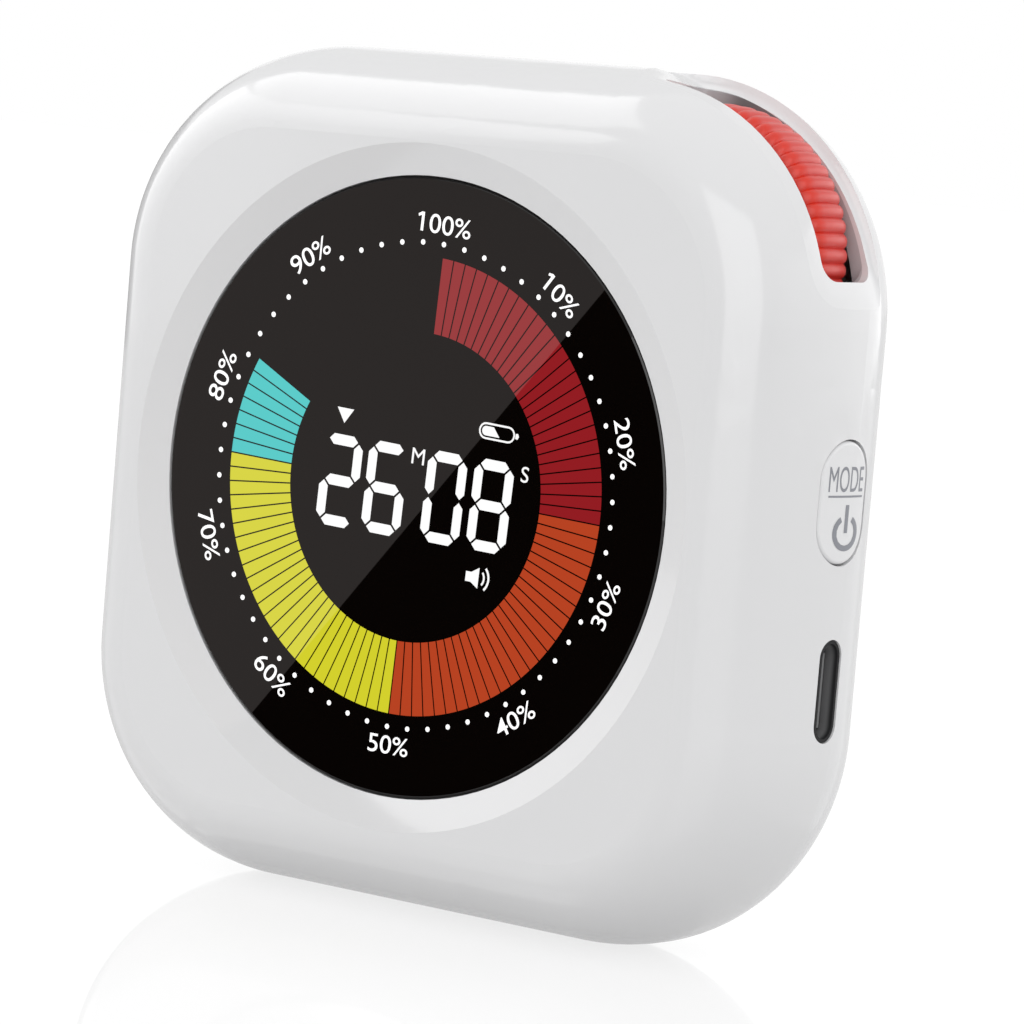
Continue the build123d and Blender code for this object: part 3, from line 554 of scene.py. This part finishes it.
def floor_look():
    """White to the camera; it keeps a soft shadow and a faint mirror image."""
    m, n, link = started("floor_look", bare=True)
    matt = n.new("ShaderNodeBsdfDiffuse")
    matt.inputs["Color"].default_value = (FLOOR_MATT, FLOOR_MATT, FLOOR_MATT, 1)
    lift = n.new("ShaderNodeEmission")
    glossy = between(n, link, seen_by(n, link, ("Is Glossy Ray",)), FLOOR_BOUNCE, FLOOR_GLOSS)
    link.new(between(n, link, seen_by(n, link, ("Is Camera Ray",)), glossy, FLOOR_LIFT),
             lift.inputs["Strength"])
    both = n.new("ShaderNodeAddShader")
    link.new(matt.outputs[0], both.inputs[0])
    link.new(lift.outputs[0], both.inputs[1])
    shine = n.new("ShaderNodeBsdfGlossy")
    shine.inputs["Roughness"].default_value = FLOOR_ROUGH
    mixed = n.new("ShaderNodeMixShader")
    mixed.inputs[0].default_value = FLOOR_MIRROR
    link.new(both.outputs[0], mixed.inputs[1])
    link.new(shine.outputs[0], mixed.inputs[2])
    link.new(mixed.outputs[0], n["Material Output"].inputs["Surface"])
    return m


sheet("floor", (0, 0, -FLOOR_DROP), (1, 0, 0), (0, 1, 0), FLOOR_SIDE, FLOOR_SIDE, floor_look(),
      only_glossy=False)

# The sky lights the case more from the sides than from above, and is plain white to the camera
SKY_LOW, SKY_HIGH, SKY_SEEN = 1.40, 0.85, 1.0
world = bpy.data.worlds.new("studio")
bpy.context.scene.world = world
world.use_nodes = True
n, link = world.node_tree.nodes, world.node_tree.links
n["Background"].inputs["Color"].default_value = (1, 1, 1, 1)
towards, parts = n.new("ShaderNodeTexCoord"), n.new("ShaderNodeSeparateXYZ")
link.new(towards.outputs["Generated"], parts.inputs[0])
sky = between(n, link, parts.outputs["Z"], SKY_LOW, SKY_HIGH)
seen = seen_by(n, link, ("Is Camera Ray", "Is Glossy Ray", "Is Transmission Ray"))
link.new(between(n, link, seen, sky, SKY_SEEN), n["Background"].inputs["Strength"])


def lamp(name, place, side, power):
    """A square light that faces the case and that the gloss doesn't see."""
    light = bpy.data.lights.new(name, "AREA")
    light.shape = "RECTANGLE"
    light.size, light.size_y = side * MM, side * MM
    light.energy = power
    o = bpy.data.objects.new(name, light)
    o.location = [c * MM for c in place]
    o.rotation_euler = (Vector(LAMP_AIM) - Vector(place)).to_track_quat("-Z", "Y").to_euler()
    o.visible_glossy = False
    bpy.context.scene.collection.objects.link(o)


LAMP_AIM = (0, 0, 40)
lamp("front_light", (430, -600, 420), 500, 0.2)
lamp("top_light", (0, -60, 800), 600, 0.1)


def glowing(name, near, far, axis):
    """Light on a card, from near at the low end of one axis to far at its high end."""
    m, n, link = started(name, bare=True)
    across, parts = n.new("ShaderNodeTexCoord"), n.new("ShaderNodeSeparateXYZ")
    link.new(across.outputs["Generated"], parts.inputs[0])
    e = n.new("ShaderNodeEmission")
    link.new(between(n, link, parts.outputs[axis], near, far), e.inputs["Strength"])
    link.new(e.outputs[0], n["Material Output"].inputs["Surface"])
    return m


CARD_DISTANCE = 900.0
# Softboxes and flags that only the gloss sees: azimuth from the front and to the right, elevation,
# width and height in degrees, and their light at the low and the high end of an axis
CARDS = (("left_softbox", -69, 17, 62, 46, 1.4, 3.0, "Z"),
         ("top_softbox", -78, 53.5, 42, 27, 2.2, 2.6, "Y"),
         ("front_softbox", 35, 0, 52, 90, 2.4, 2.4, "Y"),
         ("rear_softbox", 125, 0, 100, 60, 1.0, 2.5, "Y"),
         ("left_flag", -116, 0, 30, 34, 0.3, 0.3, "Y"),
         ("top_flag", -135, 38, 40, 42, 0.8, 0.8, "Y"))
for name, azimuth, height, wide, tall, near, far, axis in CARDS:
    a, e = math.radians(azimuth), math.radians(height)
    aim = np.array([math.sin(a) * math.cos(e), -math.cos(a) * math.cos(e), math.sin(e)])
    across = np.array([math.cos(a), math.sin(a), 0.0])
    sheet(name, aim * CARD_DISTANCE + (0, 0, MIDDLE), across, np.cross(aim, across),
          2 * CARD_DISTANCE * math.tan(math.radians(wide / 2)),
          2 * CARD_DISTANCE * math.tan(math.radians(tall / 2)),
          glowing(name + "_light", near, far, axis))

# What the flat glass mirrors towards the camera: a dark card, and a pale one with a slanting edge
mirrored = np.array([eye[0], 2 * Y_LENS - eye[1], eye[2]])
CARD_Y, CARD_GAP = -20.0, 0.5
CARD_RANGE = 13.0             # seen from nearer only: from the lens, and not from the floor
MIRROR_RADIUS, MIRROR_CORNERS, PALE_PARTS = 28.6, 60, 40
# The pale card's edge in the picture, from pixel to pixel, and a pixel on its pale side
EDGE_START, EDGE_END, PALE_SIDE = (578, 322), (250, 715), (300, 300)
BLACK, PALE, PALE_TINT = 0.015, 0.56, (1.0, 0.9, 0.87)


def on_glass(px, py):
    """The point of the glass plane, from its middle, that a pixel of the picture shows."""
    ray = right * (px - FRAME / 2) / FOCAL - up * (py - FRAME / 2) / FOCAL - back
    p = eye + ray * (Y_LENS - eye[1]) / ray[1]
    return np.array([p[0], p[2] - MIDDLE])


def mirror_card(name, outline, y_card, material):
    """A card that covers an outline of the glass for the camera's mirrored eye, and faces it."""
    share = (mirrored[1] - y_card) / (mirrored[1] - Y_LENS)
    points = [mirrored + (np.array([x, Y_LENS, z + MIDDLE]) - mirrored) * share for x, z in outline]
    staged(name, points[::-1], material)


def card_look(name, value, colour=(1, 1, 1)):
    """Plain light on the card's face for what is near; nothing on its back or for the floor."""
    m, n, link = started(name, bare=True)
    e = n.new("ShaderNodeEmission")
    e.inputs["Color"].default_value = (*colour, 1)
    e.inputs["Strength"].default_value = value
    clear = n.new("ShaderNodeBsdfTransparent")
    face, path = n.new("ShaderNodeNewGeometry"), n.new("ShaderNodeLightPath")
    far, hidden = n.new("ShaderNodeMath"), n.new("ShaderNodeMath")
    far.operation, hidden.operation = "GREATER_THAN", "MAXIMUM"
    link.new(path.outputs["Ray Length"], far.inputs[0])
    far.inputs[1].default_value = CARD_RANGE * MM
    link.new(far.outputs[0], hidden.inputs[0])
    link.new(face.outputs["Backfacing"], hidden.inputs[1])
    mixed = n.new("ShaderNodeMixShader")
    link.new(hidden.outputs[0], mixed.inputs[0])
    link.new(e.outputs[0], mixed.inputs[1])
    link.new(clear.outputs[0], mixed.inputs[2])
    link.new(mixed.outputs[0], n["Material Output"].inputs["Surface"])
    return m


edge_start, edge_end = on_glass(*EDGE_START), on_glass(*EDGE_END)
along = (edge_end - edge_start) / np.linalg.norm(edge_end - edge_start)
side = np.array([along[1], -along[0]])
side *= math.copysign(1, np.dot(side, on_glass(*PALE_SIDE) - edge_start))
away = math.degrees(math.atan2(side[1], side[0]))
half = math.degrees(math.acos(np.dot(edge_start, side) / MIRROR_RADIUS))
whole = arc_points(0, 0, MIRROR_RADIUS, 0, 360 - 360 / MIRROR_CORNERS, MIRROR_CORNERS - 1)
mirror_card("dark_card", whole, CARD_Y - CARD_GAP, card_look("card_black", BLACK))
part = arc_points(0, 0, MIRROR_RADIUS, away - half, away + half, PALE_PARTS)
mirror_card("pale_card", part, CARD_Y, card_look("card_pale", PALE, PALE_TINT))

bpy.context.scene.view_settings.view_transform = "Standard"
